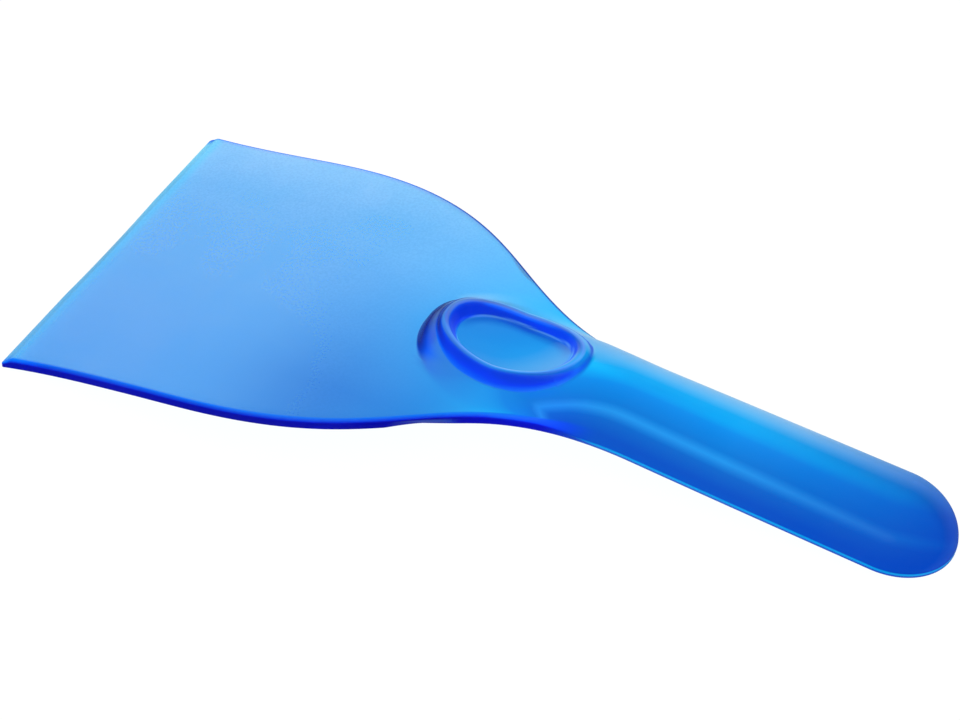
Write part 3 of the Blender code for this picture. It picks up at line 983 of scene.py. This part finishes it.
FLOOR_SIZE = 6.0
FLOOR_GAP = 0.3 * MM
FLOOR_LIGHT = 0.96
FLOOR_IN_REFLECTIONS = 0.01
FLOOR_ALBEDO = 0.05


def floor():
    """A plain pale floor, lit mostly from below like a light table."""
    bpy.ops.mesh.primitive_plane_add(size=FLOOR_SIZE, location=(0.0, 0.0, -FLOOR_GAP))
    sheet = bpy.context.object
    sheet.name = "floor"
    material = bpy.data.materials.new("pale_floor")
    material.use_nodes = True
    tree = material.node_tree
    tree.nodes.clear()
    light = add(tree, "Emission", {"Color": (1.0, 1.0, 1.0, 1.0)})
    matte = add(tree, "BsdfDiffuse")
    both = add(tree, "AddShader")
    mirrored = reflected_only(tree)
    strength = ramp(tree, mirrored, 0.0, 1.0, FLOOR_LIGHT, FLOOR_IN_REFLECTIONS)
    tree.links.new(ramp(tree, mirrored, 0.0, 1.0, FLOOR_ALBEDO, 0.0), matte.inputs["Color"])
    tree.links.new(strength, light.inputs["Strength"])
    tree.links.new(light.outputs[0], both.inputs[0])
    tree.links.new(matte.outputs[0], both.inputs[1])
    output = add(tree, "OutputMaterial")
    tree.links.new(both.outputs[0], output.inputs["Surface"])
    sheet.data.materials.append(material)


SURROUND = 1.32
SURROUND_IN_REFLECTIONS = 0.01
BACK_WALL_IN_REFLECTIONS = 0.6
BACK_WALL_HEADING = math.radians(118.0)
BACK_WALL_SPREAD = (0.55, 0.95)


def surround():
    """An even white studio. Mirrored, only its back wall is bright, near the horizon."""
    world = bpy.data.worlds.new("studio")
    bpy.context.scene.world = world
    world.use_nodes = True
    tree = world.node_tree
    tree.nodes.clear()
    link = tree.links.new
    direction = add(tree, "TexCoord").outputs["Generated"]
    heading = (math.cos(BACK_WALL_HEADING), math.sin(BACK_WALL_HEADING), 0.0)
    toward = add(tree, "VectorMath", operation="DOT_PRODUCT")
    toward.inputs[1].default_value = heading
    link(direction, toward.inputs[0])
    wall = ramp(tree, toward.outputs["Value"], *BACK_WALL_SPREAD, 0.0, 1.0)
    mirrored = ramp(tree, wall, 0.0, 1.0, SURROUND_IN_REFLECTIONS, BACK_WALL_IN_REFLECTIONS)
    choose = add(tree, "Mix", {2: SURROUND}, data_type="FLOAT")
    link(reflected_only(tree), choose.inputs[0])
    link(mirrored, choose.inputs[3])
    background = add(tree, "Background", {"Color": (1.0, 1.0, 1.0, 1.0)})
    link(choose.outputs[0], background.inputs["Strength"])
    output = add(tree, "OutputWorld")
    link(background.outputs[0], output.inputs["Surface"])


STRIP_LENGTH = 0.55
STRIP_WIDTH = 0.16
STRIP_POWER = 0.16
STRIP_PLACE = (0.0, -0.40, 0.41)
STRIP_AIM = (0.05, 0.0, 0.01)


def strip_light():
    """A long soft light over the handle, which draws the streak along it."""
    light = bpy.data.lights.new("strip", "AREA")
    light.shape = "RECTANGLE"
    light.size = STRIP_LENGTH
    light.size_y = STRIP_WIDTH
    light.energy = STRIP_POWER
    lamp = bpy.data.objects.new("strip", light)
    bpy.context.scene.collection.objects.link(lamp)
    lamp.location = STRIP_PLACE
    aim = Vector(STRIP_AIM) - lamp.location
    lamp.rotation_euler = aim.to_track_quat("-Z", "Y").to_euler()
    lamp.visible_transmission = False


# The camera's aim and distance, in the handle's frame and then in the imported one
VIEW_AZIMUTH = math.radians(26.73)
VIEW_ELEVATION = math.radians(45.13)
VIEW_AIM_X = 110.0 * MM
VIEW_DISTANCE = 505.4 * MM
FOCAL_IN_WIDTHS = 2034.6 / 960.0
SHIFT = (-0.001, -0.0102)


def camera():
    aim = at_rest(np.float64(VIEW_AIM_X), 0.0, np.float64(0.0)) + set_down()
    back = Vector((
        math.sin(VIEW_AZIMUTH) * math.cos(VIEW_ELEVATION),
        -math.cos(VIEW_AZIMUTH) * math.cos(VIEW_ELEVATION),
        math.sin(VIEW_ELEVATION),
    ))
    lens = bpy.data.cameras.new("camera")
    lens.lens = FOCAL_IN_WIDTHS * lens.sensor_width
    lens.shift_x, lens.shift_y = SHIFT
    eye = bpy.data.objects.new("camera", lens)
    bpy.context.scene.collection.objects.link(eye)
    eye.rotation_euler = (math.pi / 2.0 - VIEW_ELEVATION, 0.0, VIEW_AZIMUTH)
    eye.location = Vector(aim) + back * VIEW_DISTANCE
    bpy.context.scene.camera = eye


body = moulding()
body.data.materials.append(blue_plastic())
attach(body, "root")
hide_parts(NODE)
floor()
surround()
strip_light()
camera()
bpy.context.scene.view_settings.view_transform = "Standard"
